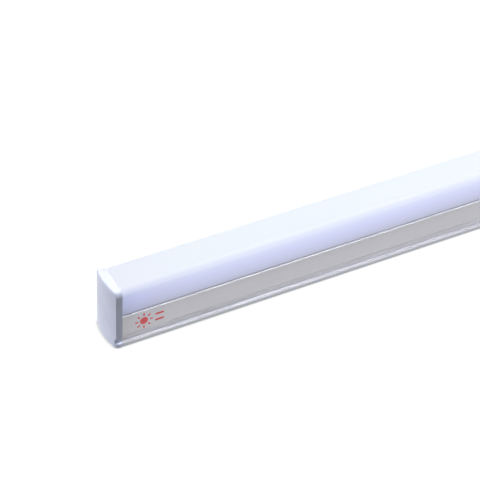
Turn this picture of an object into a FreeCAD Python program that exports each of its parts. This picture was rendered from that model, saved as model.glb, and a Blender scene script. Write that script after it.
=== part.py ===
import FreeCAD, Part
import math
import os
import re

import Sketcher

# LED batten tube with an extruded aluminium body, a snap-in opal diffuser, two moulded end caps, a recessed
# three-pin inlet in the far cap, and the LED board and driver inside.
# Frame: +X runs from the plain cap to the inlet cap, +Z is up from the base, and the origin is on the base's
# underside at the middle of the length. Millimetres throughout.

V = FreeCAD.Vector

SIZES = {
    # envelope
    "length_overall": 573.0,
    "width": 22.0,
    "height": 36.0,
    # aluminium body: foot flange, clip groove, side wall, diffuser seat
    "foot_top": 2.4,
    "foot_round": 0.2,
    "groove_depth": 1.5,
    "groove_top": 5.9,
    "groove_round": 0.35,
    "tape_line_in": 5.6,
    "tape_line_out": 6.6,
    "tape_line_depth": 0.3,
    "lip_top": 19.6,
    "wall_inset": 1.2,
    "lip_thick": 2.2,
    "lip_round": 0.15,
    "lip_under": 18.9,
    "seat_floor": 17.6,
    "hook_pocket": 7.25,
    "bead_under": 18.55,
    "bead_tip": 7.85,
    "bead_top": 19.2,
    "rib_inner": 6.6,
    "rib_under": 16.95,
    "shelf_half": 8.8,
    "shelf_top": 15.8,
    "shelf_thick": 1.2,
    "cavity_low_half": 7.7,
    "cavity_half": 8.7,
    "cavity_step": 8.4,
    "floor_thick": 1.4,
    "cavity_round": 0.5,
    # opal diffuser
    "diffuser_half": 10.3,
    "diffuser_wall": 1.2,
    "diffuser_round": 3.5,
    "diffuser_foot": 17.7,
    "diffuser_edge": 20.1,
    "diffuser_tuck": 1.6,
    "diffuser_leg": 0.8,
    "hook_top": 18.45,
    "hook_tip": 7.35,
    "diffuser_gap": 0.1,
    # end caps
    "cap_strip": 3.4,
    "cap_bulge": 1.6,
    "cap_round": 3.5,
    "cap_edge": 0.35,
    "cap_groove_depth": 1.2,
    "cap_groove_top": 5.5,
    "cap_groove_round": 0.4,
    "foot_corner": 2.2,
    "cap_wall": 1.2,
    "cap_hollow": 2.5,
    "plug_gap": 0.15,
    "plug_low_length": 9.0,
    "plug_high_length": 4.0,
    "plug_high_floor": 21.8,
    "boss_half": 3.5,
    "boss_in": 7.5,
    "boss_out": 2.0,
    "boss_height": 2.8,
    # end cap screws
    "cap_screw_inset": 4.5,
    "cap_screw_radius": 1.45,
    "cap_screw_length": 4.2,
    "screw_head_radius": 2.8,
    "screw_sink": 0.1,
    "screw_hole": 3.1,
    "screw_countersink": 5.8,
    # recessed three-pin inlet
    "inlet_height": 8.4,
    "inlet_half_wide": 6.6,
    "inlet_half_high": 3.6,
    "inlet_corner": 2.0,
    "shroud_wall": 0.9,
    "shroud_depth": 13.5,
    "insert_thick": 2.5,
    "pin_radius": 1.0,
    "pin_pitch": 4.5,
    "pin_tail": 3.0,
    "pin_tail_radius": 0.6,
    "pin_shank_radius": 1.3,
    "pin_setback": 0.2,
    "pin_tip_round": 0.5,
    # LED board and emitters
    "board_length": 556.0,
    "board_width": 17.0,
    "board_thick": 1.0,
    "led_count": 48,
    "led_pitch": 11.5,
    "led_long": 3.5,
    "led_wide": 2.8,
    "led_height": 0.7,
    "glow_long": 2.9,
    "glow_wide": 2.2,
    "glow_height": 0.62,
    "riser_middle": 80.0,
    "riser_half_long": 2.6,
    "riser_inner": 2.8,
    "riser_outer": 6.4,
    "riser_round": 1.0,
    "socket_middle": 72.0,
    "socket_long": 6.0,
    "socket_height": 3.0,
    # driver
    "driver_middle": 164.0,
    "driver_length": 140.0,
    "driver_width": 13.4,
    "driver_floor": 3.6,
    "driver_thick": 1.2,
    "sleeve_length": 146.0,
    "sleeve_half": 7.4,
    "sleeve_floor": 1.8,
    "sleeve_height": 12.2,
    "sleeve_wall": 0.4,
    "sleeve_round": 1.2,
    # driver components, each placed by its middle along the tube
    "fuse_middle": 224.0,
    "fuse_radius": 1.7,
    "fuse_length": 10.0,
    "fuse_cap_radius": 1.95,
    "fuse_cap_length": 2.2,
    "varistor_middle": 213.0,
    "varistor_radius": 3.6,
    "varistor_thick": 3.2,
    "film_middle": 202.0,
    "film_long": 10.0,
    "film_wide": 5.0,
    "film_height": 8.0,
    "choke_middle": 189.0,
    "choke_flange": 3.6,
    "choke_core": 1.6,
    "choke_height": 7.6,
    "choke_flange_thick": 1.1,
    "choke_coil": 3.1,
    "bridge_middle": 180.0,
    "bridge_long": 4.7,
    "bridge_wide": 3.9,
    "bridge_height": 2.5,
    "bulk_middle": 164.0,
    "bulk_radius": 4.0,
    "bulk_length": 16.0,
    "bulk_groove": 0.45,
    "chip_middle": 150.0,
    "chip_long": 4.9,
    "chip_wide": 3.9,
    "chip_height": 1.5,
    "core_middle": 134.0,
    "core_long": 13.0,
    "core_wide": 10.5,
    "core_height": 4.4,
    "core_lift": 2.0,
    "window_long": 8.2,
    "centre_leg": 3.4,
    "coil_long": 7.6,
    "coil_high": 7.8,
    "former_thick": 0.4,
    "diode_middle": 120.0,
    "diode_long": 4.3,
    "diode_wide": 2.6,
    "diode_height": 2.2,
    "outcap_middle": 108.0,
    "outcap_radius": 3.15,
    "outcap_length": 11.0,
    "smd_first": 146.0,
    "smd_count": 8,
    "smd_pitch": 9.0,
    "smd_long": 2.0,
    "smd_wide": 1.25,
    "smd_height": 0.55,
    "smd_side": 5.6,
    # wiring
    "mains_wire_radius": 0.75,
    "led_wire_radius": 0.6,
    "mains_bend": 6.0,
    "earth_bend": 4.0,
    "led_bend": 2.2,
    "mains_wire_height": 5.9,
    "led_wire_height": 5.6,
    "led_wire_inner": 3.7,
    "led_wire_outer": 5.5,
    # protective earth joint
    "earth_middle": 246.0,
    "earth_screw_radius": 1.5,
    "earth_screw_length": 5.2,
    "earth_nut_flats": 5.5,
    "earth_nut_height": 2.4,
    "lug_radius": 3.2,
    "lug_hole": 1.6,
    "lug_thick": 0.8,
    "lug_barrel_radius": 1.5,
    "lug_barrel_start": 4.4,
    "lug_barrel_length": 4.2,
    # printed light symbol on the side
    "mark_from_cap": 15.5,
    "mark_height": 11.7,
    "mark_thick": 0.04,
    "mark_disc": 2.2,
    "mark_ray_start": 3.15,
    "mark_ray_end": 4.8,
    "mark_ray_half": 0.42,
    "mark_ray_count": 8,
    "mark_bar_start": 6.1,
    "mark_bar_end": 10.9,
    "mark_bar_half": 0.6,
    "mark_bar_gap": 1.9,
    "mark_shift": 3.3,
}

doc = FreeCAD.newDocument("led_light_tube")
sheet = doc.addObject("Spreadsheet::Sheet", "Sizes")
for row, (alias, size) in enumerate(SIZES.items(), 1):
    sheet.set("A%d" % row, alias)
    sheet.set("B%d" % row, str(size))
    sheet.setAlias("B%d" % row, alias)
doc.recompute()

ALIAS = re.compile(r"\b(%s)\b" % "|".join(SIZES))
SEAM = "(length_overall / 2 - cap_strip - cap_bulge)"  # where each cap meets the body
BOARD_TOP = "(shelf_top + board_thick)"
DRIVER_TOP = "(driver_floor + driver_thick)"

nodes = []


def number(text):
    """The value of an expression over the sheet's names."""
    return float(sheet.evalExpression(str(text)))


def bind(thing, prop, text):
    """Ties a property to an expression over the sheet's names."""
    thing.setExpression(prop, ALIAS.sub(r"Sizes.\1", str(text)))


def place(thing, at, turn=None):
    """Puts a piece at three expressions, turned by (axis, degrees) if given."""
    if turn:
        thing.Placement = FreeCAD.Placement(V(), FreeCAD.Rotation(V(*turn[0]), turn[1]))
    for axis, text in zip("xyz", at):
        bind(thing, "Placement.Base." + axis, text)


def body(label, at=("0", "0", "0"), turn=None):
    """An empty body, registered as a sub-part."""
    made = doc.addObject("PartDesign::Body", label)
    place(made, at, turn)
    nodes.append(made)
    return made


def sketch(piece, role, lift=None):
    """A sketch on one of the body's own origin planes, lifted along its normal if asked."""
    made = piece.newObject("Sketcher::SketchObject", piece.Name + "_sketch")
    made.AttachmentSupport = (next(f for f in piece.Origin.OriginFeatures if f.Role == role), "")
    made.MapMode = "FlatFace"
    if lift is not None:
        bind(made, "AttachmentOffset.Base.z", lift)
    return made


def constrain(made, rules):
    """Adds sketch rules; each is (constraint arguments, bound expression or None)."""
    first = made.ConstraintCount
    made.addConstraint([Sketcher.Constraint(*arguments) for arguments, _ in rules])
    for index, (_, text) in enumerate(rules, first):
        if text is not None:
            bind(made, "Constraints[%d]" % index, text)


def fix_point(geo, end, across, up):
    """Rules that hold a sketch point at two expressions from the sketch's origin."""
    return [
        (("DistanceX", -1, 1, geo, end, number(across)), across),
        (("DistanceY", -1, 1, geo, end, number(up)), up),
    ]


def outline(made, corners):
    """A closed counter-clockwise loop of straight sides; a corner is (across, up) or (across, up, radius)."""
    spots = [V(number(c[0]), number(c[1]), 0) for c in corners]
    joints = []
    for index, corner in enumerate(corners):
        here = spots[index]
        into = (here - spots[index - 1]).normalize()
        out = (spots[(index + 1) % len(spots)] - here).normalize()
        radius = corner[2] if len(corner) > 2 else None
        ends = []
        for way, sign in ((into, "-"), (out, "+")):
            texts = []
            for text, part in zip(corner[:2], (way.x, way.y)):
                turns = radius is not None and abs(part) >= 0.5
                texts.append(text + (" %s (%s) * %d" % (sign, radius, round(part)) if turns else ""))
            ends.append(texts)
        joints.append((ends[0], ends[1], radius, into, out))
    first = made.GeometryCount
    shapes, rules = [], []
    for index, (_, leave, _, _, _) in enumerate(joints):
        arrive = joints[(index + 1) % len(joints)][0]
        start, end = (V(number(spot[0]), number(spot[1]), 0) for spot in (leave, arrive))
        shapes.append(Part.LineSegment(start, end))
        rules += fix_point(first + index, 1, *leave)
        if joints[(index + 1) % len(joints)][2] is None:
            rules.append((("Coincident", first + index, 2, first + (index + 1) % len(joints), 1), None))
        else:
            rules += fix_point(first + index, 2, *arrive)
    for index, (arrive, leave, radius, into, out) in enumerate(joints):
        if radius is None:
            continue
        size = number(radius)
        centre = spots[index] - into * size + out * size
        turns_left = into.x * out.y - into.y * out.x > 0
        start, stop = (arrive, leave) if turns_left else (leave, arrive)
        angles = [math.atan2(number(p[1]) - centre.y, number(p[0]) - centre.x) for p in (start, stop)]
        arc = first + len(shapes)
        shapes.append(Part.ArcOfCircle(Part.Circle(centre, V(0, 0, 1), size), angles[0], angles[1]))
        before, after = first + (index - 1) % len(joints), first + index
        ends = (1, 2) if turns_left else (2, 1)
        rules.append((("Coincident", before, 2, arc, ends[0]), None))
        rules.append((("Coincident", after, 1, arc, ends[1]), None))
        rules.append((("Radius", arc, size), radius))
    made.addGeometry(shapes, False)
    constrain(made, rules)


def mirrored(half):
    """Corners up the right side, and their reflections down the left."""
    return half + [("-(%s)" % c[0],) + c[1:] for c in reversed(half)]


def rectangle(made, left, low, right, high, radius=None):
    extra = () if radius is None else (radius,)
    outline(made, [c + extra for c in ((left, low), (right, low), (right, high), (left, high))])


def circle(made, across, up, radius):
    made.addGeometry(Part.Circle(V(number(across), number(up), 0), V(0, 0, 1), number(radius)), False)
    geo = made.GeometryCount - 1
    constrain(made, fix_point(geo, 3, across, up) + [(("Radius", geo, number(radius)), radius)])


def extrude(piece, profile, kind, length, back=None, sides="One side", flip=False):
    """A Pad or Pocket of a sketch; back is the length on the other side."""
    made = piece.newObject("PartDesign::" + kind, piece.Name + "_" + kind.lower())
    made.Profile = profile
    made.SideType = "Two sides" if back else sides
    made.Reversed = flip
    bind(made, "Length", length)
    if back:
        bind(made, "Length2", back)
    doc.recompute()
    return made


def repeat(piece, features, profile, axis, spacing, count):
    """A row of copies of the features along one of the sketch's axes."""
    made = piece.newObject("PartDesign::LinearPattern", piece.Name + "_row")
    made.Originals = features
    made.Direction = (profile, [axis])
    made.Mode = "Spacing"
    bind(made, "Offset", spacing)
    bind(made, "Occurrences", count)
    piece.Tip = made
    doc.recompute()


def soften(piece, radius, chosen):
    """Rounds the edges of the body's present shape that the test picks."""
    base = piece.Tip
    names = ["Edge%d" % (i + 1) for i, edge in enumerate(base.Shape.Edges) if chosen(edge)]
    made = piece.newObject("PartDesign::Fillet", piece.Name + "_fillet")
    made.Base = (base, names)
    bind(made, "Radius", radius)
    doc.recompute()


def turned(label, at, profile, turn=None):
    """A body of revolution about its own Z from (radius, height) corners."""
    made = body(label, at, turn)
    shape = sketch(made, "XZ_Plane")
    outline(shape, profile)
    spin = made.newObject("PartDesign::Revolution", label + "_spin")
    spin.Profile = shape
    spin.ReferenceAxis = (shape, ["V_Axis"])
    spin.Angle = 360
    doc.recompute()
    return made, spin, shape


def block(label, size, middle, low, side="0", node=True):
    """A box centred on (middle, side) along the tube, standing on height low."""
    made = doc.addObject("Part::Box", label)
    for prop, text in zip(("Length", "Width", "Height"), size):
        bind(made, prop, text)
    place(made, ("(%s) - (%s) / 2" % (middle, size[0]), "(%s) - (%s) / 2" % (side, size[1]), low))
    if node:
        nodes.append(made)
    return made


def rod(label, radius, length, at, node=True, turn=None):
    """A cylinder from its base centre, upright unless turned."""
    made = doc.addObject("Part::Cylinder", label)
    bind(made, "Radius", radius)
    bind(made, "Height", length)
    place(made, at, turn)
    if node:
        nodes.append(made)
    return made


def along(start, middle_height, side="0"):
    return (start, side, middle_height)


ALONG_X = ((0, 1, 0), 90)


def joined(label, pieces):
    made = doc.addObject("Part::MultiFuse", label)
    made.Shapes = pieces
    return made


def cut(label, base, tool):
    made = doc.addObject("Part::Cut", label)
    made.Base, made.Tool = base, tool
    nodes.append(made)
    return made


def wire(label, at, radius, run_in, bend, middle, rise, reach, turn=None):
    """A round wire that runs level, climbs through two equal bends and runs level again."""
    made = body(label, at, turn)
    lead, curve, straight, climb, span = (number(t) for t in (run_in, bend, middle, rise, reach))
    low, high = 0.0, math.pi / 2
    for _ in range(60):
        angle = (low + high) / 2
        if 2 * curve * (1 - math.cos(angle)) + straight * math.sin(angle) < climb:
            low = angle
        else:
            high = angle
    first_end = V(lead + curve * math.sin(angle), curve * (1 - math.cos(angle)), 0)
    second_start = first_end + V(straight * math.cos(angle), straight * math.sin(angle), 0)
    second_end = second_start + V(curve * math.sin(angle), curve * (1 - math.cos(angle)), 0)
    first_turn = Part.Circle(V(lead, curve, 0), V(0, 0, 1), curve)
    path = sketch(made, "XZ_Plane")
    path.addGeometry(
        [
            Part.LineSegment(V(0, 0, 0), V(lead, 0, 0)),
            Part.ArcOfCircle(first_turn, -math.pi / 2, angle - math.pi / 2),
            Part.LineSegment(first_end, second_start),
            Part.ArcOfCircle(
                Part.Circle(second_end - V(0, curve, 0), V(0, 0, 1), curve), math.pi / 2, math.pi / 2 + angle
            ),
            Part.LineSegment(second_end, V(span, second_end.y, 0)),
        ],
        False,
    )
    rules = [(("Coincident", 0, 1, -1, 1), None), (("Horizontal", 0), None), (("Horizontal", 4), None)]
    rules += [
        (("Tangent", one, end, other, start), None)
        for one, end, other, start in ((0, 2, 1, 1), (1, 2, 2, 1), (2, 2, 3, 2), (3, 1, 4, 1))
    ]
    rules += [(("Radius", 1, curve), bend), (("Radius", 3, curve), bend)]
    rules += [(("DistanceX", -1, 1, 0, 2, lead), run_in), (("Distance", 2, straight), middle)]
    rules += [(("DistanceY", -1, 1, 4, 2, climb), rise), (("DistanceX", -1, 1, 4, 2, span), reach)]
    constrain(path, rules)
    section = sketch(made, "YZ_Plane")
    circle(section, "0", "0", radius)
    doc.recompute()
    pipe = made.newObject("PartDesign::AdditivePipe", label + "_pipe")
    pipe.Profile = section
    pipe.Spine = path
    doc.recompute()
    swept = 2 * curve * angle + lead + straight + span - second_end.x
    if abs(made.Shape.Volume / (math.pi * number(radius) ** 2 * swept) - 1) > 0.01:
        raise RuntimeError(label + " lost volume along its route")


# --- extruded body ------------------------------------------------------------------------------------------
housing = body("housing")
section = sketch(housing, "YZ_Plane")
outline(
    section,
    mirrored(
        [
            ("tape_line_in", "0"),
            ("tape_line_in", "tape_line_depth"),
            ("tape_line_out", "tape_line_depth"),
            ("tape_line_out", "0"),
            ("width / 2", "0", "foot_round"),
            ("width / 2", "foot_top", "foot_round"),
            ("width / 2 - groove_depth", "foot_top", "groove_round"),
            ("width / 2 - groove_depth", "groove_top", "groove_round"),
            ("width / 2 - wall_inset", "groove_top", "groove_round"),
            ("width / 2 - wall_inset", "lip_under"),
            ("width / 2", "lip_under"),
            ("width / 2", "lip_top", "lip_round"),
            ("width / 2 - lip_thick", "lip_top"),
            ("width / 2 - lip_thick", "seat_floor"),
            ("hook_pocket", "seat_floor"),
            ("hook_pocket", "bead_under"),
            ("bead_tip", "bead_under"),
            ("bead_tip", "bead_top"),
            ("rib_inner", "bead_top"),
            ("rib_inner", "rib_under"),
            ("shelf_half", "rib_under"),
            ("shelf_half", "shelf_top"),
        ]
    ),
)
outline(
    section,
    mirrored(
        [
            ("cavity_low_half", "floor_thick", "cavity_round"),
            ("cavity_low_half", "cavity_step"),
            ("cavity_half", "cavity_step"),
            ("cavity_half", "shelf_top - shelf_thick", "cavity_round"),
        ]
    ),
)
extrude(housing, section, "Pad", "2 * " + SEAM, sides="Symmetric")
plain = housing.Shape.Volume
window = sketch(housing, "XY_Plane", "shelf_top")
rectangle(
    window,
    "riser_middle - riser_half_long",
    "riser_inner",
    "riser_middle + riser_half_long",
    "riser_outer",
    "riser_round",
)
extrude(housing, window, "Pocket", "shelf_thick")
pierced = housing.Shape.Volume
if pierced >= plain:
    raise RuntimeError("the wire window removed nothing")
drilling = sketch(housing, "XY_Plane")
for centre in ("-(%s - cap_screw_inset)" % SEAM, "%s - cap_screw_inset" % SEAM, "earth_middle"):
    circle(drilling, centre, "0", "screw_hole / 2")
doc.recompute()
holes = housing.newObject("PartDesign::Hole", "housing_holes")
holes.Profile = drilling
doc.recompute()
holes.Reversed = True
holes.ThreadType = "None"
holes.DepthType = "Dimension"
holes.HoleCutType = "Countersink"
holes.DrillPoint = "Flat"
bind(holes, "Diameter", "screw_hole")
bind(holes, "Depth", "floor_thick + 0.5")
bind(holes, "HoleCutDiameter", "screw_countersink")
holes.HoleCutCountersinkAngle = 90
doc.recompute()
if housing.Shape.Volume >= pierced:
    raise RuntimeError("the screw holes removed nothing")

# --- diffuser -----------------------------------------------------------------------------------------------
diffuser = body("diffuser")
section = sketch(diffuser, "YZ_Plane")
side = "diffuser_half - diffuser_wall"
leg = "diffuser_half - diffuser_tuck"
# each side stands on a leg that is set inwards and ends in a hook
outline(
    section,
    [
        (leg, "diffuser_foot"),
        (leg, "diffuser_edge"),
        ("diffuser_half", "diffuser_edge"),
        ("diffuser_half", "height", "diffuser_round"),
        ("-diffuser_half", "height", "diffuser_round"),
        ("-diffuser_half", "diffuser_edge"),
        ("-(%s)" % leg, "diffuser_edge"),
        ("-(%s)" % leg, "diffuser_foot"),
        ("-hook_tip", "diffuser_foot"),
        ("-hook_tip", "hook_top"),
        ("-(%s - diffuser_leg)" % leg, "hook_top"),
        ("-(%s - diffuser_leg)" % leg, "diffuser_edge + diffuser_wall"),
        ("-(%s)" % side, "diffuser_edge + diffuser_wall"),
        ("-(%s)" % side, "height - diffuser_wall", "diffuser_round - diffuser_wall"),
        (side, "height - diffuser_wall", "diffuser_round - diffuser_wall"),
        (side, "diffuser_edge + diffuser_wall"),
        ("%s - diffuser_leg" % leg, "diffuser_edge + diffuser_wall"),
        ("%s - diffuser_leg" % leg, "hook_top"),
        ("hook_tip", "hook_top"),
        ("hook_tip", "diffuser_foot"),
    ],
)
extrude(diffuser, section, "Pad", "2 * (%s - diffuser_gap)" % SEAM, sides="Symmetric")


# --- end caps -----------------------------------------------------------------------------------------------
def inlet_loop(made, grow):
    """The inlet's keyed outline: square-cornered below with two bevelled corners above."""
    wide = "(inlet_half_wide + %s)" % grow
    high = "(inlet_half_high + %s)" % grow
    outline(
        made,
        mirrored(
            [
                (wide, "inlet_height - %s" % high),
                (wide, "inlet_height + %s - inlet_corner" % high),
                ("%s - inlet_corner" % wide, "inlet_height + %s" % high),
            ]
        ),
    )


def end_cap(label, turn, with_inlet):
    """A moulded cap with a bowed face, hollow behind, with two plugs; its own +X points out of the tube."""
    outward = "" if with_inlet else "-"
    cap = body(label, (outward + SEAM, "0", "0"), turn)
    # the printed side is notched above the foot; the other side is plain
    notched = [
        ("width / 2", "0"),
        ("width / 2", "foot_top"),
        ("width / 2 - cap_groove_depth", "foot_top"),
        ("width / 2 - cap_groove_depth", "cap_groove_top", "cap_groove_round"),
        ("width / 2", "cap_groove_top", "cap_groove_round"),
        ("width / 2", "height", "cap_round"),
    ]
    ring = notched + [("-(width / 2)", "height", "cap_round"), ("-(width / 2)", "0")]
    front = "-" if with_inlet else ""
    if with_inlet:
        ring = [("-(%s)" % c[0],) + c[1:] for c in reversed(ring)]
    face = sketch(cap, "YZ_Plane")
    outline(face, ring)
    extrude(cap, face, "Pad", "cap_strip + cap_bulge")
    before = cap.Shape.Volume
    # the bow: everything outside one wide arc seen from above is taken off
    bow = sketch(cap, "XY_Plane")
    half, strip, bulge = number("width / 2"), number("cap_strip"), number("cap_bulge")
    radius = (half * half + bulge * bulge) / (2 * bulge)
    swing = math.asin(half / radius)
    bow.addGeometry(
        [
            Part.ArcOfCircle(Part.Circle(V(strip + bulge - radius, 0, 0), V(0, 0, 1), radius), -swing, swing),
            Part.LineSegment(V(strip, half, 0), V(strip, half + 2, 0)),
            Part.LineSegment(V(strip, half + 2, 0), V(strip + bulge + 2, half + 2, 0)),
            Part.LineSegment(V(strip + bulge + 2, half + 2, 0), V(strip + bulge + 2, -half - 2, 0)),
            Part.LineSegment(V(strip + bulge + 2, -half - 2, 0), V(strip, -half - 2, 0)),
            Part.LineSegment(V(strip, -half - 2, 0), V(strip, -half, 0)),
        ],
        False,
    )
    rules = [(("Coincident", 0, 2, 1, 1), None), (("Coincident", 5, 2, 0, 1), None)]
    rules += [(("Coincident", i, 2, i + 1, 1), None) for i in range(1, 5)]
    rules += fix_point(1, 1, "cap_strip", "width / 2") + fix_point(1, 2, "cap_strip", "width / 2 + 2")
    rules += fix_point(2, 2, "cap_strip + cap_bulge + 2", "width / 2 + 2")
    rules += fix_point(3, 2, "cap_strip + cap_bulge + 2", "-width / 2 - 2")
    rules += fix_point(4, 2, "cap_strip", "-width / 2 - 2") + fix_point(5, 2, "cap_strip", "-width / 2")
    rules.append((("Radius", 0, radius), "((width / 2) ^ 2 + cap_bulge ^ 2) / (2 * cap_bulge)"))
    constrain(bow, rules)
    extrude(cap, bow, "Pocket", "3 * height", sides="Symmetric")
    if cap.Shape.Volume >= before:
        raise RuntimeError(label + " kept a flat face")
    soften(cap, "cap_edge", lambda e: e.CenterOfMass.x > strip + 0.02 and e.Length > 0.3)
    # the foot's corner under the notch is rounded in plan, tangent to the side and to the bow
    sweep = "(((width / 2) ^ 2 + cap_bulge ^ 2) / (2 * cap_bulge))"
    middle = "(cap_strip + cap_bulge - %s)" % sweep
    reach = "sqrt((%s - foot_corner) ^ 2 - (width / 2 - foot_corner) ^ 2)" % sweep
    stretch = "(%s / (%s - foot_corner))" % (sweep, sweep)
    turn_start = ("%s + %s" % (middle, reach), front + "width / 2")
    aside = "%s(width / 2 - foot_corner)" % front
    turn_end = ("%s + %s * %s" % (middle, reach, stretch), "%s * %s" % (aside, stretch))
    centre = V(number(turn_start[0]), number(aside), 0)
    spots = [V(number(p[0]), number(p[1]), 0) for p in (turn_start, turn_end)]
    angles = [math.atan2(p.y - centre.y, p.x - centre.x) for p in spots]
    first, last = (1, 2) if with_inlet else (2, 1)
    beyond = [
        ("cap_strip + cap_bulge + 2", turn_end[1]),
        ("cap_strip + cap_bulge + 2", front + "(width / 2 + 2)"),
        (turn_start[0], front + "(width / 2 + 2)"),
    ]
    loop = [spots[1]] + [V(number(p[0]), number(p[1]), 0) for p in beyond] + [spots[0]]
    toe = sketch(cap, "XY_Plane")
    arc = Part.ArcOfCircle(Part.Circle(centre, V(0, 0, 1), number("foot_corner")), min(angles), max(angles))
    toe.addGeometry([arc] + [Part.LineSegment(p, q) for p, q in zip(loop, loop[1:])], False)
    rules = [(("Radius", 0, number("foot_corner")), "foot_corner")]
    rules += fix_point(0, first, *turn_start) + fix_point(0, last, *turn_end)
    rules += [(("Coincident", 0, last, 1, 1), None), (("Coincident", 0, first, 4, 2), None)]
    for index, spot in enumerate(beyond, 1):
        rules += fix_point(index, 2, *spot) + [(("Coincident", index, 2, index + 1, 1), None)]
    constrain(toe, rules)
    before = cap.Shape.Volume
    extrude(cap, toe, "Pocket", "foot_top + 1", flip=True)
    if cap.Shape.Volume >= before:
        raise RuntimeError(label + " kept a sharp foot corner")
    # plugs that enter the body's cavity and the diffuser
    low = sketch(cap, "YZ_Plane")
    outline(
        low,
        mirrored(
            [
                ("cavity_low_half - plug_gap", "floor_thick + plug_gap", "cavity_round"),
                ("cavity_low_half - plug_gap", "cavity_step + plug_gap"),
                ("cavity_half - plug_gap", "cavity_step + plug_gap"),
                ("cavity_half - plug_gap", "shelf_top - shelf_thick - plug_gap", "cavity_round"),
            ]
        ),
    )
    extrude(cap, low, "Pad", "plug_low_length", flip=True)
    high = sketch(cap, "YZ_Plane")
    inner = "(diffuser_half - diffuser_wall - plug_gap)"
    crown = "(height - diffuser_wall - plug_gap)"
    soft = "(diffuser_round - diffuser_wall)"
    outline(high, mirrored([(inner, "plug_high_floor"), (inner, crown, soft)]))
    extrude(cap, high, "Pad", "plug_high_length", flip=True)
    # hollows behind the face, running out through the plugs
    hollow = sketch(cap, "YZ_Plane")
    wall = "(plug_gap + cap_wall)"
    outline(
        hollow,
        mirrored(
            [
                ("cavity_low_half - %s" % wall, "floor_thick + %s" % wall),
                ("cavity_low_half - %s" % wall, "cavity_step + %s" % wall),
                ("cavity_half - %s" % wall, "cavity_step + %s" % wall),
                ("cavity_half - %s" % wall, "shelf_top - shelf_thick - %s" % wall),
            ]
        ),
    )
    outline(
        hollow,
        mirrored(
            [
                (inner + " - cap_wall", "plug_high_floor + cap_wall"),
                (inner + " - cap_wall", crown + " - cap_wall", "cap_wall"),
            ]
        ),
    )
    before = cap.Shape.Volume
    extrude(cap, hollow, "Pocket", "plug_low_length + 1", back="cap_hollow")
    if cap.Shape.Volume > before - 1000:
        raise RuntimeError(label + " was not hollowed both ways")
    # boss under the plug's floor for the fixing screw
    boss = sketch(cap, "XY_Plane", "floor_thick + plug_gap")
    rectangle(boss, "-boss_in", "-boss_half", "-boss_out", "boss_half")
    extrude(cap, boss, "Pad", "boss_height")
    if with_inlet:
        shroud = sketch(cap, "YZ_Plane")
        inlet_loop(shroud, "shroud_wall")
        extrude(cap, shroud, "Pad", "cap_hollow", back="shroud_depth")
        recess = sketch(cap, "YZ_Plane")
        inlet_loop(recess, "0")
        before = cap.Shape.Volume
        extrude(cap, recess, "Pocket", "3 * shroud_depth", sides="Symmetric")
        if cap.Shape.Volume >= before:
            raise RuntimeError("the inlet recess removed nothing")
    pilot = sketch(cap, "XY_Plane", "floor_thick + plug_gap")
    circle(pilot, "-cap_screw_inset", "0", "cap_screw_radius")
    before = cap.Shape.Volume
    extrude(cap, pilot, "Pocket", "screw_sink + cap_screw_length - floor_thick - plug_gap", flip=True)
    if cap.Shape.Volume >= before:
        raise RuntimeError(label + " has no screw hole")
    return cap


end_cap("near_end_cap", ((0, 0, 1), 180), False)
end_cap("far_end_cap", None, True)

insert = body("inlet_insert", ("%s - shroud_depth" % SEAM, "0", "0"))
plate = sketch(insert, "YZ_Plane")
inlet_loop(plate, "0")
for side in ("-pin_pitch", "0", "pin_pitch"):
    circle(plate, side, "inlet_height", "pin_shank_radius")
extrude(insert, plate, "Pad", "insert_thick")

# each pin: a thin solder tail, a shank held in the insert and a round-nosed free end
pins, spin, profile = turned(
    "inlet_pins",
    ("%s - shroud_depth - pin_tail" % SEAM, "pin_pitch", "inlet_height"),
    [
        ("0", "0"),
        ("pin_tail_radius", "0"),
        ("pin_tail_radius", "pin_tail"),
        ("pin_shank_radius", "pin_tail"),
        ("pin_shank_radius", "pin_tail + insert_thick"),
        ("pin_radius", "pin_tail + insert_thick"),
        ("pin_radius", "pin_tail + shroud_depth - pin_setback", "pin_tip_round"),
        ("0", "pin_tail + shroud_depth - pin_setback"),
    ],
    ALONG_X,
)
repeat(pins, [spin], profile, "N_Axis", "pin_pitch", "3")

screws, spin, profile = turned(
    "end_cap_screws",
    ("-(%s - cap_screw_inset)" % SEAM, "0", "screw_sink"),
    [
        ("0", "0"),
        ("screw_head_radius", "0"),
        ("cap_screw_radius", "screw_head_radius - cap_screw_radius"),
        ("cap_screw_radius", "cap_screw_length"),
        ("0", "cap_screw_length"),
    ],
)
repeat(screws, [spin], profile, "H_Axis", "2 * (%s - cap_screw_inset)" % SEAM, "2")

# --- LED board ----------------------------------------------------------------------------------------------
board = body("led_board")
plan = sketch(board, "XY_Plane", "shelf_top")
rectangle(plan, "-board_length / 2", "-board_width / 2", "board_length / 2", "board_width / 2")
rectangle(
    plan,
    "riser_middle - riser_half_long",
    "riser_inner",
    "riser_middle + riser_half_long",
    "riser_outer",
    "riser_round",
)
extrude(board, plan, "Pad", "board_thick")

first_led = "-(led_count - 1) * led_pitch / 2"
packages = body("led_packages", (first_led, "0", "0"))
plan = sketch(packages, "XY_Plane", BOARD_TOP)
rectangle(plan, "-led_long / 2", "-led_wide / 2", "led_long / 2", "led_wide / 2")
rectangle(plan, "-glow_long / 2", "-glow_wide / 2", "glow_long / 2", "glow_wide / 2")
repeat(packages, [extrude(packages, plan, "Pad", "led_height")], plan, "H_Axis", "led_pitch", "led_count")

phosphor = body("led_phosphor", (first_led, "0", "0"))
plan = sketch(phosphor, "XY_Plane", BOARD_TOP)
rectangle(plan, "-glow_long / 2", "-glow_wide / 2", "glow_long / 2", "glow_wide / 2")
repeat(phosphor, [extrude(phosphor, plan, "Pad", "glow_height")], plan, "H_Axis", "led_pitch", "led_count")

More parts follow.
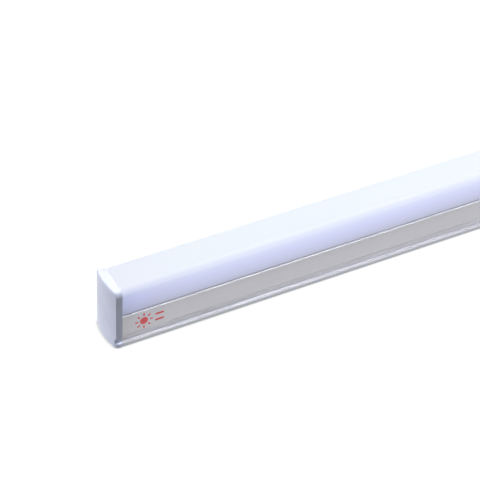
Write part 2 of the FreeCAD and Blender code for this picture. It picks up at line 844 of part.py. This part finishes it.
block(
    "led_board_socket",
    ("socket_long", "riser_outer - riser_inner", "socket_height"),
    "socket_middle",
    BOARD_TOP,
    "(riser_outer + riser_inner) / 2",
)

# --- driver -------------------------------------------------------------------------------------------------
block("driver_board", ("driver_length", "driver_width", "driver_thick"), "driver_middle", "driver_floor")

sleeve = body("driver_sleeve", ("driver_middle", "0", "sleeve_floor"))
section = sketch(sleeve, "YZ_Plane")
rectangle(section, "-sleeve_half", "0", "sleeve_half", "sleeve_height", "sleeve_round")
rectangle(
    section,
    "-(sleeve_half - sleeve_wall)",
    "sleeve_wall",
    "sleeve_half - sleeve_wall",
    "sleeve_height - sleeve_wall",
    "sleeve_round - sleeve_wall",
)
extrude(sleeve, section, "Pad", "sleeve_length", sides="Symmetric")

fuse_axis = "%s + fuse_cap_radius" % DRIVER_TOP
fuse_starts = ("fuse_middle - fuse_length / 2", "fuse_middle + fuse_length / 2 - fuse_cap_length")
tube = rod("fuse_tube", "fuse_radius", "fuse_length", along(fuse_starts[0], fuse_axis), False, ALONG_X)
fuse_ends = [
    rod("fuse_end_%d" % i, "fuse_cap_radius", "fuse_cap_length", along(start, fuse_axis), False, ALONG_X)
    for i, start in enumerate(fuse_starts)
]
nodes.append(joined("input_fuse", [tube] + fuse_ends))
rod(
    "varistor",
    "varistor_radius",
    "varistor_thick",
    along("varistor_middle - varistor_thick / 2", "%s + varistor_radius" % DRIVER_TOP),
    turn=ALONG_X,
)
block("film_capacitor", ("film_long", "film_wide", "film_height"), "film_middle", DRIVER_TOP)
turned(
    "filter_choke_core",
    ("choke_middle", "0", DRIVER_TOP),
    [
        ("0", "0"),
        ("choke_flange", "0"),
        ("choke_flange", "choke_flange_thick"),
        ("choke_core", "choke_flange_thick"),
        ("choke_core", "choke_height - choke_flange_thick"),
        ("choke_flange", "choke_height - choke_flange_thick"),
        ("choke_flange", "choke_height"),
        ("0", "choke_height"),
    ],
)
turned(
    "filter_choke_coil",
    ("choke_middle", "0", DRIVER_TOP),
    [
        ("choke_core", "choke_flange_thick"),
        ("choke_coil", "choke_flange_thick"),
        ("choke_coil", "choke_height - choke_flange_thick"),
        ("choke_core", "choke_height - choke_flange_thick"),
    ],
)
block("bridge_rectifier", ("bridge_long", "bridge_wide", "bridge_height"), "bridge_middle", DRIVER_TOP)


def can_profile(radius, length):
    """An electrolytic can with its crimped groove near the lead end."""
    return [
        ("0", "0"),
        (radius, "0"),
        (radius, "1.2"),
        (radius + " - bulk_groove", "1.2"),
        (radius + " - bulk_groove", "2.2"),
        (radius, "2.2"),
        (radius, length),
        ("0", length),
    ]


turned(
    "bulk_capacitor",
    ("bulk_middle - bulk_length / 2", "0", "%s + bulk_radius" % DRIVER_TOP),
    can_profile("bulk_radius", "bulk_length"),
    ALONG_X,
)
turned(
    "output_capacitor",
    ("outcap_middle - outcap_length / 2", "0", "%s + outcap_radius" % DRIVER_TOP),
    can_profile("outcap_radius", "outcap_length"),
    ALONG_X,
)
block("driver_chip", ("chip_long", "chip_wide", "chip_height"), "chip_middle", DRIVER_TOP)
block("output_diode", ("diode_long", "diode_wide", "diode_height"), "diode_middle", DRIVER_TOP)

# transformer: a core with two windows lying flat, a former on its centre leg and the winding on the former
core = body("transformer_core", ("core_middle", "0", "%s + core_lift" % DRIVER_TOP))
plan = sketch(core, "XY_Plane")
rectangle(plan, "-core_long / 2", "-core_wide / 2", "core_long / 2", "core_wide / 2")
for low, high in (("centre_leg / 2", "core_wide / 2 - 1.2"), ("-(core_wide / 2 - 1.2)", "-centre_leg / 2")):
    rectangle(plan, "-window_long / 2", low, "window_long / 2", high)
extrude(core, plan, "Pad", "core_height")

core_axis = "(%s + core_lift + core_height / 2)" % DRIVER_TOP


def wound(label, inner, outer):
    """A rectangular ring round the centre leg, from inner to outer half sizes (across, up)."""
    made = body(label, ("core_middle", "0", core_axis))
    shape = sketch(made, "YZ_Plane")
    for across, up in (outer, inner):
        rectangle(shape, "-(%s)" % across, "-(%s)" % up, across, up)
    extrude(made, shape, "Pad", "coil_long", sides="Symmetric")


leg = ("centre_leg / 2", "core_height / 2")
former = ("centre_leg / 2 + former_thick", "core_height / 2 + former_thick")
wound("transformer_former", leg, former)
wound("transformer_winding", former, ("core_wide / 2 - 1.5", "coil_high / 2 - 0.2"))

smd = body("driver_resistors", ("smd_first", "-smd_side", "0"))
plan = sketch(smd, "XY_Plane", DRIVER_TOP)
rectangle(plan, "-smd_long / 2", "-smd_wide / 2", "smd_long / 2", "smd_wide / 2")
repeat(smd, [extrude(smd, plan, "Pad", "smd_height")], plan, "H_Axis", "smd_pitch", "smd_count")

# --- wiring -------------------------------------------------------------------------------------------------
board_end = "(driver_middle + driver_length / 2)"
tails = "(%s - shroud_depth - pin_tail)" % SEAM
for label, side in (("live_wire", "-pin_pitch"), ("neutral_wire", "pin_pitch")):
    wire(
        label,
        ("%s - 2" % board_end, side, "mains_wire_height"),
        "mains_wire_radius",
        "18",
        "mains_bend",
        "1",
        "inlet_height - mains_wire_height",
        "%s - (%s - 2)" % (tails, board_end),
    )
barrel_end = "(earth_middle + lug_barrel_start + lug_barrel_length)"
barrel_height = "(floor_thick + lug_barrel_radius)"
wire(
    "earth_wire",
    (barrel_end + " - 3", "0", barrel_height),
    "mains_wire_radius",
    "3.2",
    "earth_bend",
    "0.6",
    "inlet_height - %s" % barrel_height,
    "%s - (%s - 3)" % (tails, barrel_end),
)
for label, side in (("led_positive_wire", "led_wire_inner"), ("led_negative_wire", "led_wire_outer")):
    wire(
        label,
        ("driver_middle - driver_length / 2 + 2", side, "led_wire_height"),
        "led_wire_radius",
        "driver_middle - driver_length / 2 + 2 - riser_middle - led_bend",
        "led_bend",
        "%s + socket_height / 2 - led_wire_height - 2 * led_bend" % BOARD_TOP,
        "%s + socket_height / 2 - led_wire_height" % BOARD_TOP,
        "driver_middle - driver_length / 2 + 2 - socket_middle - socket_long / 2",
        ((0, 0, 1), 180),
    )

# --- protective earth joint ---------------------------------------------------------------------------------
turned(
    "earth_screw",
    ("earth_middle", "0", "screw_sink"),
    [
        ("0", "0"),
        ("screw_head_radius", "0"),
        ("earth_screw_radius", "screw_head_radius - earth_screw_radius"),
        ("earth_screw_radius", "earth_screw_length"),
        ("0", "earth_screw_length"),
    ],
)
lug_plate = rod("lug_ring", "lug_radius", "lug_thick", ("earth_middle", "0", "floor_thick"), False)
lug_tongue = block(
    "lug_tongue",
    ("lug_barrel_start + 0.5", "2 * lug_barrel_radius", "lug_thick"),
    "earth_middle + (lug_barrel_start + 0.5) / 2",
    "floor_thick",
    node=False,
)
barrel_start = along("earth_middle + lug_barrel_start", barrel_height)
lug_barrel = rod("lug_barrel", "lug_barrel_radius", "lug_barrel_length", barrel_start, False, ALONG_X)
lug_hole = rod("lug_bolt_hole", "lug_hole", "4", ("earth_middle", "0", "floor_thick - 1"), False)
wire_end = along(barrel_end + " - 3", barrel_height)
lug_bore = rod("lug_wire_bore", "mains_wire_radius", "6", wire_end, False, ALONG_X)
lug_solid = joined("lug_solid", [lug_plate, lug_tongue, lug_barrel])
cut("earth_lug", lug_solid, joined("lug_voids", [lug_hole, lug_bore]))

hexagon = doc.addObject("Part::Prism", "nut_hexagon")
hexagon.Polygon = 6
bind(hexagon, "Circumradius", "earth_nut_flats / sqrt(3)")
bind(hexagon, "Height", "earth_nut_height")
place(hexagon, ("earth_middle", "0", "floor_thick + lug_thick"))
nut_hole = rod("nut_hole", "earth_screw_radius", "6", ("earth_middle", "0", "floor_thick"), False)
cut("earth_nut", hexagon, nut_hole)

# --- printed light symbol -----------------------------------------------------------------------------------
mark_place = ("-(%s - mark_from_cap + mark_shift)" % SEAM, "-(width / 2 - wall_inset)", "mark_height")
mark = body("printed_mark", mark_place)
disc = sketch(mark, "XZ_Plane")
circle(disc, "0", "0", "mark_disc")
extrude(mark, disc, "Pad", "mark_thick")
beam = sketch(mark, "XZ_Plane")
rectangle(beam, "mark_ray_start", "-mark_ray_half", "mark_ray_end", "mark_ray_half")
first_ray = extrude(mark, beam, "Pad", "mark_thick")
rays = mark.newObject("PartDesign::PolarPattern", "printed_mark_rays")
rays.Originals = [first_ray]
rays.Axis = (beam, ["N_Axis"])
rays.Angle = 360
bind(rays, "Occurrences", "mark_ray_count")
mark.Tip = rays
doc.recompute()
bars = sketch(mark, "XZ_Plane")
for level in ("mark_bar_gap", "-mark_bar_gap"):
    rectangle(
        bars,
        "mark_bar_start",
        "%s - mark_bar_half" % level,
        "mark_bar_end",
        "%s + mark_bar_half" % level,
        "mark_bar_half * 0.9",
    )
extrude(mark, bars, "Pad", "mark_thick")

# --- check and write ----------------------------------------------------------------------------------------
doc.recompute()
for thing in doc.Objects:
    if "Invalid" in thing.State or "Error" in thing.State:
        raise RuntimeError("%s failed: %s" % (thing.Name, thing.State))
for node in nodes:
    if node.Shape.isNull() or not node.Shape.isValid() or not node.Shape.Solids:
        raise RuntimeError(node.Label + " has no valid solid")

os.makedirs("parts", exist_ok=True)
for node in nodes:
    node.Shape.exportStep("parts/%s.step" % node.Label)
    box = node.Shape.BoundBox
    ends = (box.XMin, box.XMax, box.YMin, box.YMax, box.ZMin, box.ZMax)
    facts = (node.Label, len(node.Shape.Solids), node.Shape.Volume) + ends
    print("%-22s %3d solid(s) %10.2f mm3  x %.2f..%.2f  y %.2f..%.2f  z %.2f..%.2f" % facts)
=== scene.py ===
import math

import bpy
from mathutils import Matrix, Vector


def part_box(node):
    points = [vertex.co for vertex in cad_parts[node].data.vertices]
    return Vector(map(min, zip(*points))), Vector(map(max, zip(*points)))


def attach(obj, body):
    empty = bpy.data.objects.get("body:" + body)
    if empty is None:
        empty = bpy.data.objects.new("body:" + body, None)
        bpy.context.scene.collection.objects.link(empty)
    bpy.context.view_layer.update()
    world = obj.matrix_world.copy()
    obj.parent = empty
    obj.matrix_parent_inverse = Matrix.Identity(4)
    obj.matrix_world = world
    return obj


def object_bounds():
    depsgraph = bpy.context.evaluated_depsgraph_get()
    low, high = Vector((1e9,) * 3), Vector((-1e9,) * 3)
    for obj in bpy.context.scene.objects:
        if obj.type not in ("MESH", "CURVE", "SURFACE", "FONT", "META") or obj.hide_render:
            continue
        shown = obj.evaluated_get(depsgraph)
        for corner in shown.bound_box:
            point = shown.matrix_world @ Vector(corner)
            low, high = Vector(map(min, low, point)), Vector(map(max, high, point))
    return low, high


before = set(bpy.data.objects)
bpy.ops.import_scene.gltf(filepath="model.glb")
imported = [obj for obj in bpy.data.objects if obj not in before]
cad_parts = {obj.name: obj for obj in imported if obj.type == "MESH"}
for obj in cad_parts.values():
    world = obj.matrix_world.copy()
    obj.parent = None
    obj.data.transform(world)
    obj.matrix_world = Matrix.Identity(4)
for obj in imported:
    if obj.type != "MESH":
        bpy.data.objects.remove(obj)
cad_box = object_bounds()
scene = bpy.context.scene

# places on the light, in metres: lengths from its middle along X, heights above its base
crown = cad_box[1][2]
body_end, _, lip_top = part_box("housing")[1]
cap_rim = body_end + 0.0034
foot_top = 0.0024
groove_top = 0.0059
notch_top = 0.0055


# --- materials ----------------------------------------------------------------------------------------------
class Mat:
    """A procedural material: a Principled shader and small helpers that build its node network."""

    def __init__(self, name, color, rough, metal=0.0):
        self.mat = bpy.data.materials.new(name)
        self.mat.use_nodes = True
        self.tree = self.mat.node_tree
        self.shader = self.tree.nodes["Principled BSDF"]
        self.set("Base Color", (*color, 1.0))
        self.set("Roughness", rough)
        self.set("Metallic", metal)
        self.place = self.node("ShaderNodeTexCoord").outputs["Object"]

    def set(self, socket, value):
        self.shader.inputs[socket].default_value = value

    def node(self, kind, **values):
        """A new node, with its settings and unlinked inputs given by name."""
        made = self.tree.nodes.new(kind)
        for key, value in values.items():
            if hasattr(made, key):
                setattr(made, key, value)
            else:
                made.inputs[key].default_value = value
        return made

    def link(self, out, into):
        self.tree.links.new(out, into)

    def stretch(self, scale):
        """The object coordinates, scaled on each axis."""
        mapping = self.node("ShaderNodeMapping")
        mapping.inputs["Scale"].default_value = scale
        self.link(self.place, mapping.inputs["Vector"])
        return mapping.outputs["Vector"]

    def noise(self, scale, detail=4.0, rough=0.55):
        """Noise with that many waves to the metre on each axis."""
        made = self.node("ShaderNodeTexNoise", Scale=1.0, Detail=detail, Roughness=rough)
        self.link(self.stretch(scale), made.inputs["Vector"])
        return made.outputs["Fac"]

    def ramp(self, value, stops):
        """A colour, or a grey given as one number, at each stop from 0 to 1."""
        made = self.node("ShaderNodeValToRGB")
        ramp = made.color_ramp
        while len(ramp.elements) < len(stops):
            ramp.elements.new(0.5)
        for element, (at, color) in zip(ramp.elements, stops):
            element.position = at
            element.color = (*color, 1.0) if isinstance(color, tuple) else (color, color, color, 1.0)
        self.link(value, made.inputs["Fac"])
        return made.outputs["Color"]

    def span(self, value, low, high, to_low, to_high):
        """The value's range from low to high, stretched to run from to_low to to_high, and held beyond."""
        made = self.node("ShaderNodeMapRange")
        for key, number in (("From Min", low), ("From Max", high), ("To Min", to_low), ("To Max", to_high)):
            made.inputs[key].default_value = number
        self.link(value, made.inputs["Value"])
        return made.outputs["Result"]

    def maths(self, how, one, other):
        made = self.node("ShaderNodeMath", operation=how)
        for socket, value in zip(made.inputs, (one, other)):
            if isinstance(value, (int, float)):
                socket.default_value = value
            else:
                self.link(value, socket)
        return made.outputs["Value"]

    def axis(self, name):
        made = self.node("ShaderNodeSeparateXYZ")
        self.link(self.place, made.inputs["Vector"])
        return made.outputs[name]

    def from_middle(self):
        """The distance from the middle of the tube, along it."""
        return self.maths("ABSOLUTE", self.axis("X"), 0.0)

    def mix(self, fac, one, other, how="MIX"):
        made = self.node("ShaderNodeMix", data_type="RGBA", blend_type=how)
        sockets = {s.identifier: s for s in made.inputs}
        for key, value in (("Factor_Float", fac), ("A_Color", one), ("B_Color", other)):
            if isinstance(value, (int, float)):
                sockets[key].default_value = value
            elif isinstance(value, tuple):
                sockets[key].default_value = (*value, 1.0)
            else:
                self.link(value, sockets[key])
        return next(s for s in made.outputs if s.identifier == "Result_Color")

    def times(self, one, other, fac=1.0):
        """One colour multiplied by another."""
        return self.mix(fac, one, other, "MULTIPLY")

    def color(self, out):
        self.link(out, self.shader.inputs["Base Color"])

    def rough(self, value, low, high):
        self.link(self.span(value, 0.0, 1.0, low, high), self.shader.inputs["Roughness"])

    def bump(self, value, strength, distance):
        made = self.node("ShaderNodeBump", Strength=strength, Distance=distance)
        self.link(value, made.inputs["Height"])
        before = self.shader.inputs["Normal"].links
        if before:
            self.link(before[0].from_socket, made.inputs["Normal"])
        self.link(made.outputs["Normal"], self.shader.inputs["Normal"])


def opal():
    """Milky polycarbonate: pale blue-white, with a painted glow that stands in for light scattered through
    it, so that its sides stay bright.

    On the sides the painted glow grows with height. Over the last stretch before each cap, the glow and the
    colour are darkened with painted shade.
    """
    m = Mat("opal_polycarbonate", (0.17, 0.18, 0.19), 0.5)
    m.set("IOR", 1.45)
    m.set("Specular IOR Level", 0.25)
    lift = m.span(m.axis("Z"), lip_top, crown, 0.0, 1.0)
    cloud = m.noise((3.0, 30.0, 30.0), 3.0)
    pale = m.mix(m.span(cloud, 0.3, 0.7, 0.0, 1.0), (0.155, 0.165, 0.175), (0.165, 0.175, 0.185))
    # painted glow, standing in for scattered light, growing with height
    painted_glow_by_height = [
        (0.025, (0.17, 0.18, 0.23)),
        (0.04, (0.41, 0.43, 0.53)),
        (0.17, (0.46, 0.48, 0.66)),
        (0.30, (0.51, 0.53, 0.73)),
        (0.60, (0.575, 0.605, 0.855)),
        (0.85, (0.65, 0.69, 0.87)),
        (1.00, (0.60, 0.635, 0.675)),
    ]
    # painted shade: the colour and the glow are dimmer over this last stretch before each cap
    painted_end_shade_length = 0.110
    inward = m.span(m.from_middle(), body_end, body_end - painted_end_shade_length, 0.0, 1.0)
    m.color(m.times(pale, m.ramp(inward, [(0.0, (0.93, 0.86, 1.0)), (0.35, 1.0)])))
    painted_end_shade_by_length = [
        (0.00, (0.65, 0.68, 0.72)),
        (0.08, (0.80, 0.815, 0.86)),
        (0.18, 0.88),
        (0.34, 0.94),
        (0.60, 0.975),
        (1.00, 1.0),
    ]
    on_the_side = m.span(lift, 0.75, 1.0, 1.0, 0.0)
    glow = m.times(m.ramp(lift, painted_glow_by_height), m.ramp(inward, painted_end_shade_by_length), on_the_side)
    m.link(glow, m.shader.inputs["Emission Color"])
    m.set("Emission Strength", 1.0)
    m.rough(m.noise((40.0, 600.0, 600.0), 5.0), 0.45, 0.58)
    m.bump(m.noise((700.0, 1500.0, 1500.0), 3.0), 0.05, 0.00005)
    return m.mat


def anodised():
    """Clear-anodised extrusion: matte satin, with die lines and faint streaks that run along the tube.

    The edge over the clip groove has a painted highlight. The foot and the last stretch before each cap are
    darkened with painted shade.
    """
    m = Mat("anodised_aluminium", (0.65, 0.64, 0.68), 0.42, 0.62)
    streak = m.noise((1.5, 900.0, 900.0), 6.0, 0.7)
    broad = m.noise((6.0, 90.0, 90.0), 3.0)
    tone = m.mix(m.span(streak, 0.3, 0.7, 0.0, 1.0), (0.61, 0.605, 0.64), (0.65, 0.645, 0.68))
    tone = m.mix(m.span(broad, 0.35, 0.65, 0.0, 0.3), tone, (0.625, 0.605, 0.64))
    # painted highlight along the top edge of the clip groove
    painted_groove_highlight = m.span(m.axis("Z"), groove_top - 0.0006, groove_top + 0.0002, 0.0, 1.0)
    tone = m.times(tone, m.ramp(painted_groove_highlight, [(0.0, 1.0), (0.4, 1.25), (0.75, 1.25), (1.0, 1.0)]))
    # painted shade over the last stretch before each cap
    painted_shade_length = 0.0135
    tone = m.times(tone, m.span(m.from_middle(), body_end - painted_shade_length, body_end, 1.0, 0.84))
    # painted shade on the foot, next to the floor
    foot = m.span(m.axis("Z"), foot_top - 0.0014, foot_top - 0.0004, 1.0, 0.0)
    m.color(m.mix(foot, tone, (0.50, 0.51, 0.56)))
    m.rough(streak, 0.36, 0.48)
    m.bump(streak, 0.08, 0.00003)
    return m.mat


def cap_shade(m):
    """Painted light and shade on the caps: palest along the top edge, darker partway up, and lighter on their
    sides in the notch and on the foot.
    """
    painted_tone_by_height = [(0.0, 1.02), (0.15, 1.0), (0.5, 0.88), (0.93, 0.89), (0.99, 1.07)]
    over_all = m.ramp(m.span(m.axis("Z"), 0.0, crown, 0.0, 1.0), painted_tone_by_height)
    behind_face = m.span(m.from_middle(), cap_rim + 0.0001, cap_rim - 0.0003, 0.0, 1.0)
    low = m.span(m.axis("Z"), notch_top + 0.0003, notch_top - 0.0001, 0.0, 1.0)
    # painted light: the sides are lighter in the notch and on the foot
    return m.mix(m.maths("MULTIPLY", behind_face, low), over_all, (1.4, 1.4, 1.4))


def moulded(name, color, low=0.32, high=0.48, shade=None):
    """Moulded plastic: fine spark-eroded texture with slight tone and gloss changes."""
    m = Mat(name, color, (low + high) / 2)
    cloud = m.noise((60.0, 60.0, 60.0), 4.0)
    fine = m.noise((900.0, 900.0, 900.0), 3.0)
    dark = tuple(c * 0.93 for c in color)
    light = tuple(min(1.0, c * 1.05) for c in color)
    tone = m.mix(m.span(cloud, 0.3, 0.7, 0.0, 1.0), dark, light)
    if shade:
        tone = m.times(tone, shade(m))
    m.color(tone)
    m.rough(fine, low, high)
    m.bump(fine, 0.06, 0.00008)
    return m.mat


def metal(name, color, low, high, scale=(300.0, 300.0, 300.0)):
    """Bare or plated metal: a slightly cloudy surface, whose roughness runs from low to high."""
    m = Mat(name, color, (low + high) / 2, 1.0)
    cloud = m.noise(scale, 5.0)
    m.color(m.mix(m.span(cloud, 0.3, 0.7, 0.0, 1.0), tuple(c * 0.85 for c in color), color))
    m.rough(cloud, low, high)
    m.bump(cloud, 0.06, 0.00003)
    return m.mat


def ink():
    """Pad-printed ink: a thin, slightly uneven film, through which the metal still shines."""
    m = Mat("mark_ink", (0.70, 0.10, 0.11), 0.42, 0.55)
    speck = m.noise((1800.0, 1800.0, 1800.0), 4.0)
    m.color(m.mix(m.span(speck, 0.45, 0.75, 0.0, 0.6), (0.69, 0.09, 0.10), (0.80, 0.25, 0.26)))
    m.rough(speck, 0.35, 0.55)
    m.bump(speck, 0.1, 0.00002)
    return m.mat


FINISH = {
    "housing": anodised(),
    "diffuser": opal(),
    "near_end_cap": moulded("cap_plastic", (0.62, 0.65, 0.80), shade=cap_shade),
    "inlet_insert": moulded("inlet_plastic", (0.035, 0.035, 0.04), 0.4, 0.6),
    "inlet_pins": metal("nickel_brass", (0.80, 0.70, 0.48), 0.16, 0.28),
    "end_cap_screws": metal("zinc_plate", (0.62, 0.63, 0.62), 0.25, 0.42),
    "led_board": moulded("solder_mask_white", (0.86, 0.86, 0.84)),
    "led_packages": moulded("led_moulding", (0.85, 0.85, 0.82)),
    "led_phosphor": moulded("phosphor_gel", (0.86, 0.66, 0.14), 0.2, 0.3),
    "led_board_socket": moulded("nylon_white", (0.80, 0.78, 0.72)),
    "driver_board": moulded("solder_mask_green", (0.03, 0.20, 0.07), 0.25, 0.4),
    "driver_sleeve": moulded("film_black", (0.03, 0.03, 0.035), 0.25, 0.4),
    "input_fuse": moulded("ceramic_tube", (0.70, 0.67, 0.60)),
    "varistor": moulded("epoxy_blue", (0.04, 0.10, 0.32), 0.2, 0.35),
    "film_capacitor": moulded("case_yellow", (0.75, 0.55, 0.06), 0.3, 0.45),
    "filter_choke_core": moulded("ferrite", (0.06, 0.06, 0.065), 0.5, 0.7),
    "filter_choke_coil": metal("enamelled_copper", (0.62, 0.25, 0.09), 0.25, 0.4, (60.0, 60.0, 4000.0)),
    "bridge_rectifier": moulded("epoxy_black", (0.02, 0.02, 0.022), 0.4, 0.6),
    "bulk_capacitor": moulded("can_sleeve", (0.02, 0.03, 0.07), 0.2, 0.35),
    "transformer_former": moulded("phenolic", (0.05, 0.045, 0.04), 0.4, 0.6),
    "transformer_winding": moulded("polyester_tape", (0.80, 0.60, 0.08), 0.2, 0.35),
    "driver_resistors": moulded("chip_ceramic", (0.03, 0.03, 0.03), 0.3, 0.5),
    "live_wire": moulded("wire_brown", (0.13, 0.045, 0.02), 0.35, 0.5),
    "neutral_wire": moulded("wire_blue", (0.02, 0.09, 0.38), 0.35, 0.5),
    "earth_wire": moulded("wire_green_yellow", (0.28, 0.45, 0.03), 0.35, 0.5),
    "led_positive_wire": moulded("wire_red", (0.50, 0.02, 0.02), 0.35, 0.5),
    "led_negative_wire": moulded("wire_black", (0.02, 0.02, 0.02), 0.35, 0.5),
    "earth_lug": metal("tinned_copper", (0.72, 0.71, 0.68), 0.25, 0.4),
    "printed_mark": ink(),
}
SAME = {
    "far_end_cap": "near_end_cap",
    "output_capacitor": "bulk_capacitor",
    "driver_chip": "bridge_rectifier",
    "output_diode": "bridge_rectifier",
    "transformer_core": "filter_choke_core",
    "earth_screw": "end_cap_screws",
    "earth_nut": "end_cap_screws",
}
for name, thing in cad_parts.items():
    finish = FINISH[SAME.get(name, name)]
    for slot in thing.material_slots:
        slot.material = finish


# --- screwdriver crosses in the screw heads, seen from below ------------------------------------------------
def cross(name, at, paint):
    """A thin dark cross of painted shade that stands for the recess in a screw head."""
    reach, half = 0.0013, 0.00028
    low, high = 0.00004, 0.0001
    ring = []
    for turn in range(4):
        c, s = round(math.cos(turn * math.pi / 2)), round(math.sin(turn * math.pi / 2))
        ring += [(c * x - s * y, s * x + c * y) for x, y in ((half, -half), (reach, -half), (reach, half))]
    count = len(ring)
    points = [(at + x, y, z) for z in (low, high) for x, y in ring]
    sides = [(i, (i + 1) % count, count + (i + 1) % count, count + i) for i in range(count)]
    mesh = bpy.data.meshes.new(name)
    mesh.from_pydata(points, [], sides + [tuple(range(count))[::-1], tuple(range(count, 2 * count))])
    made = bpy.data.objects.new(name, mesh)
    scene.collection.objects.link(made)
    made.data.materials.append(paint)
    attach(made, "root")


recess_shade_paint = metal("recess_shade", (0.09, 0.09, 0.09), 0.5, 0.7)
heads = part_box("end_cap_screws")
head_radius = 0.0028
cross("near_screw_cross", heads[0][0] + head_radius, recess_shade_paint)
cross("far_screw_cross", heads[1][0] - head_radius, recess_shade_paint)


# --- stage --------------------------------------------------------------------------------------------------
def staged(name, points, faces, color):
    """A piece of the stage, with a matt paint that gives off light of its own."""
    mesh = bpy.data.meshes.new(name)
    mesh.from_pydata(points, [], faces)
    made = bpy.data.objects.new(name, mesh)
    scene.collection.objects.link(made)
    paint = Mat(name, color, 0.9)
    paint.set("Specular IOR Level", 0.0)
    paint.set("Emission Strength", 1.0)
    made.data.materials.append(paint.mat)
    made.visible_diffuse = False
    return made, paint


# the floor, with painted shade: a little less bright round the plain cap, and a painted contact shadow where
# the tube touches it
far = 15.0
points = [(-far, -far, 0.0), (far, -far, 0.0), (far, far, 0.0), (-far, far, 0.0)]
_, paint = staged("floor", points, [(0, 1, 2, 3)], (0.09, 0.09, 0.09))
beside_cap = (-0.36, -0.03, 0.0)
away = paint.node("ShaderNodeVectorMath", operation="DISTANCE")
away.inputs[1].default_value = beside_cap
paint.link(paint.place, away.inputs[0])
bright_by_distance = [(0.0, 0.95), (0.035, 0.95), (0.12, 0.99), (1.0, 1.02)]
distance = paint.span(away.outputs["Value"], 0.0, 2.0, 0.0, 1.0)
bright = paint.ramp(distance, bright_by_distance)
near = paint.node("ShaderNodeAmbientOcclusion", samples=8, Distance=0.0015)
painted_contact_shadow = paint.span(near.outputs["AO"], 0.5, 1.0, 0.68, 1.0)
paint.link(paint.times(bright, painted_contact_shadow), paint.shader.inputs["Emission Color"])

# a tall pale ring round the stage, which lights nothing and shows in no reflection
radius, height, count = 14.0, 12.0, 96
spots = [(math.cos(math.tau * i / count), math.sin(math.tau * i / count)) for i in range(count)]
points = [(radius * x, radius * y, z) for z in (0.0, height) for x, y in spots]
faces = [(i, (i + 1) % count, count + (i + 1) % count, count + i) for i in range(count)]
ring, paint = staged("backdrop", points, faces, (0.0, 0.0, 0.0))
rise = paint.span(paint.axis("Z"), 0.0, height, 0.0, 1.0)
paint.link(paint.ramp(rise, [(0.0, 0.99), (1.0, 0.80)]), paint.shader.inputs["Emission Color"])
ring.visible_glossy = ring.visible_transmission = ring.visible_shadow = False

world = bpy.data.worlds.new("studio")
scene.world = world
world.use_nodes = True
sky = world.node_tree.nodes["Background"]
sky.inputs["Color"].default_value = (0.94, 0.96, 1.0, 1.0)
sky.inputs["Strength"].default_value = 0.12


# --- lights -------------------------------------------------------------------------------------------------
def area(name, way, distance, size, level, color=(1.0, 1.0, 1.0)):
    """A square softbox, out along a direction from the stretch in view, with a given brightness."""
    about = Vector((-0.2, 0.0, 0.02))
    light = bpy.data.lights.new(name, "AREA")
    light.shape = "SQUARE"
    light.size = size
    light.energy = level * math.pi * size * size
    light.color = color
    made = bpy.data.objects.new(name, light)
    scene.collection.objects.link(made)
    way = Vector(way).normalized()
    made.location = about + way * distance
    made.rotation_mode = "QUATERNION"
    made.rotation_quaternion = (-way).to_track_quat("-Z", "Y")
    made.visible_camera = False
    return made


# the first is small and hangs close, past the tube's middle, so the stretch in view is brighter towards it
area("overhead", (0.28, -0.12, 0.70), 0.753, 0.26, 32.5, color=(0.93, 0.945, 1.0))
area("front_fill", (0.2, -1.0, 0.25), 2.6, 1.6, 0.35, color=(0.93, 0.95, 1.0))
# its grazing reflection would hide the colour of the diffuser's top
near_end = area("near_end_light", (-1.0, 0.35, 0.3), 2.4, 1.2, 9.6, color=(0.97, 0.98, 1.0))
near_end.visible_glossy = False
area("far_end_light", (1.0, 0.1, 0.35), 2.6, 1.2, 7.5)
area("back_fill", (-0.2, 1.0, 0.5), 2.6, 1.2, 5.0)

# --- camera: above and to the left of the plain cap, long lens, slight roll ---------------------------------
view_from = Vector((-0.64528, -0.76232, 0.78512))
look_at = Vector((-0.20229, 0.01691, 0.018))
roll = math.radians(-2.596)
ahead = (look_at - view_from).normalized()
level = ahead.cross(Vector((0.0, 0.0, 1.0))).normalized()
upward = Matrix.Rotation(roll, 3, ahead) @ level.cross(ahead)
across = ahead.cross(upward)
camera = bpy.data.objects.new("camera", bpy.data.cameras.new("camera"))
scene.collection.objects.link(camera)
camera.data.sensor_width = 36.0
camera.data.lens = 175.26
camera.data.clip_start, camera.data.clip_end = 0.05, 60.0
turn = Matrix((across, upward, -ahead)).transposed()
camera.matrix_world = Matrix.Translation(view_from) @ turn.to_4x4()
scene.camera = camera

scene.view_settings.view_transform = "Standard"
scene.view_settings.look = "None"
scene.view_settings.exposure = 0.0
